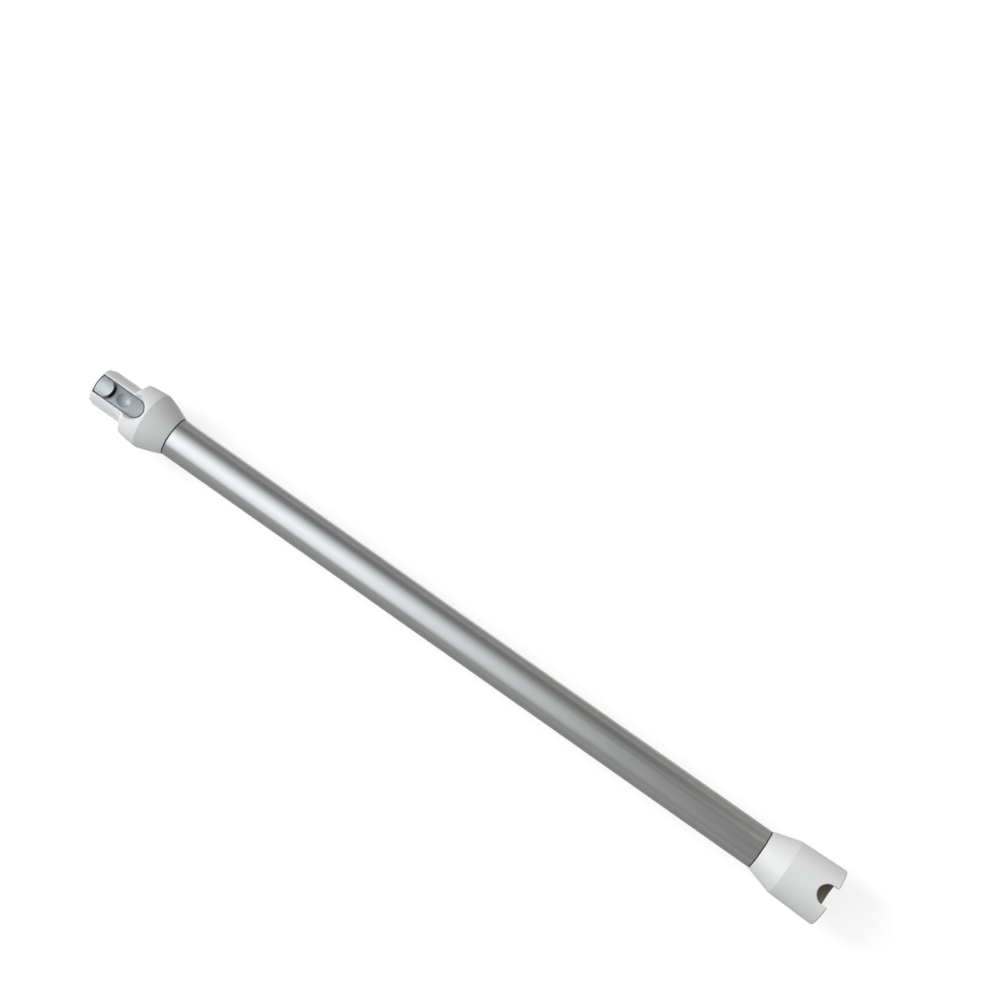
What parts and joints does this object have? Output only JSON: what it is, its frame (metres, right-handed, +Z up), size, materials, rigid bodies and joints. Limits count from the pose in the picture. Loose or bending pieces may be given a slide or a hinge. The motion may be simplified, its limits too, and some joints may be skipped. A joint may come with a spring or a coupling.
{
  "type": "vacuum extension wand",
  "caption": "Straight vacuum cleaner extension wand: aluminium tube with a keyed neck and sprung release lever at one end and a notched socket at the other.",
  "frame": {"origin": "on the surface that the wand lies on, under the middle of its length", "axes": "+X along the wand from the neck's tip to the cuff's mouth, +Z up through the release lever and the mouth's notch"},
  "size_m": [0.74, 0.0524, 0.0527],
  "materials": {
    "anodised_tube": "satin anodised, drawn along the tube",
    "white_moulding": "fine satin moulding",
    "duct_moulding": "plain moulding",
    "lever_moulding": "satin moulding with a faint metallic grey",
    "dark_moulding": "plain dark moulding",
    "black_rubber": "matt",
    "blackened_steel": "ground and blackened",
    "spring_steel": "drawn",
    "contact_brass": "turned",
    "black_insulation": "smooth",
    "white_insulation": "smooth"
  },
  "bodies": {
    "wand": {"tube": "anodised_tube", "neck_housing": "white_moulding", "neck_duct": "duct_moulding", "lever_pivot_pin": "blackened_steel", "lever_spring": "spring_steel", "neck_joint_ring": "black_rubber", "neck_contact_block": "dark_moulding", "neck_contact_left": "contact_brass", "neck_contact_right": "contact_brass", "neck_lock_clips": "spring_steel", "cuff_shell": "white_moulding", "cuff_liner": "dark_moulding", "cuff_duct": "duct_moulding", "cuff_joint_ring": "black_rubber", "socket_gasket": "black_rubber", "cuff_contact_block": "dark_moulding", "cuff_contact_pin_left": "contact_brass", "cuff_contact_pin_right": "contact_brass", "cuff_lock_clips": "spring_steel", "wire_left": "black_insulation", "wire_right": "white_insulation"},
    "lever": {"release_lever": "lever_moulding"}
  },
  "joints": [
    {"name": "lever_press", "type": "hinge", "parent": "wand", "child": "lever", "pos_m": [-0.3291, 0, 0.03622], "axis": [0, -1, 0], "range_deg": [0, 4], "stiffness_Nm_per_rad": 0.5, "springref_deg": -1.72, "deforming": ["lever_spring"]}
  ]
}
